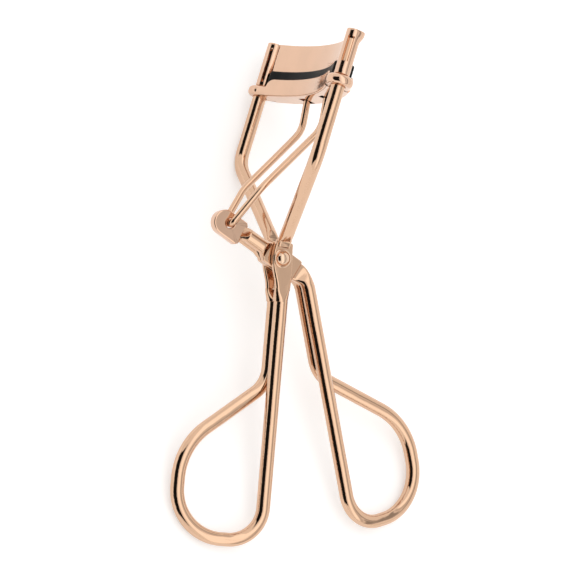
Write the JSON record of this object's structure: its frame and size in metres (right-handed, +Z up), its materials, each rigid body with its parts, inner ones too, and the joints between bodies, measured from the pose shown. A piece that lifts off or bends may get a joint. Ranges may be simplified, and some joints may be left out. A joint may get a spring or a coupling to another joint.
{
  "type": "eyelash curler",
  "caption": "Scissor-action eyelash curler: squeezing two looped handles lifts a padded lower jaw on guide rods against a curved upper jaw.",
  "frame": {"origin": "centre of the bounding box's bottom face: the tool lies on the table on the bend of its left guide rod and on both finger loops", "axes": "+Y from the finger loops towards the jaws, +Z up from the table, and +X towards the lever's side, with the two finger loops side by side along X"},
  "size_m": [0.0536, 0.0986, 0.0408],
  "materials": {
    "plated_wire": "mirror-polished rose-gold plating on round steel wire",
    "plated_sheet": "mirror-polished rose-gold plating on stamped steel sheet",
    "rivet": "mirror-polished rose-gold plated rivet with a domed head",
    "pad_rubber": "black silicone rubber, satin"
  },
  "bodies": {
    "frame": {"guide_rod_left": "plated_wire", "guide_rod_right": "plated_wire", "frame_shoulder_left": "plated_wire", "frame_shoulder_right": "plated_wire", "frame_cheek_left": "plated_wire", "frame_cheek_right": "plated_wire", "frame_finger_loop": "plated_wire", "upper_jaw": "plated_sheet", "pivot_rivet": "rivet"},
    "lever": {"lever_plate_left": "plated_wire", "lever_plate_right": "plated_wire", "lever_arm_left": "plated_wire", "lever_arm_right": "plated_wire", "hammer_plate": "plated_sheet", "lever_finger_loop": "plated_wire"},
    "link": {"link_crossbar": "plated_wire", "link_leg_left": "plated_wire", "link_leg_right": "plated_wire"},
    "jaw": {"lower_jaw": "plated_sheet", "jaw_ear_left": "plated_sheet", "jaw_ear_right": "plated_sheet", "rubber_pad": "pad_rubber"}
  },
  "joints": [
    {"name": "lever_pivot", "type": "hinge", "parent": "frame", "child": "lever", "pos_m": [-0.00217, 0.00359, 0.0133], "axis": [0, -0.2241, 0.9746], "range_deg": [0, 40]},
    {"name": "jaw_slide", "type": "slide", "parent": "frame", "child": "jaw", "axis": [-0.3827, -0.9004, -0.207], "range_m": [0, 0.0083]},
    {"name": "link_swing", "type": "hinge", "parent": "lever", "child": "link", "pos_m": [-0.01189, 0.01078, 0.01496], "axis": [0, -0.2241, 0.9746], "range_deg": [-40, 0]}
  ],
  "couplings": [
    {"joint": "jaw_slide", "follows": "lever_pivot", "m_per_rad": 0.0117},
    {"joint": "link_swing", "follows": "lever_pivot", "ratio": -0.99}
  ]
}
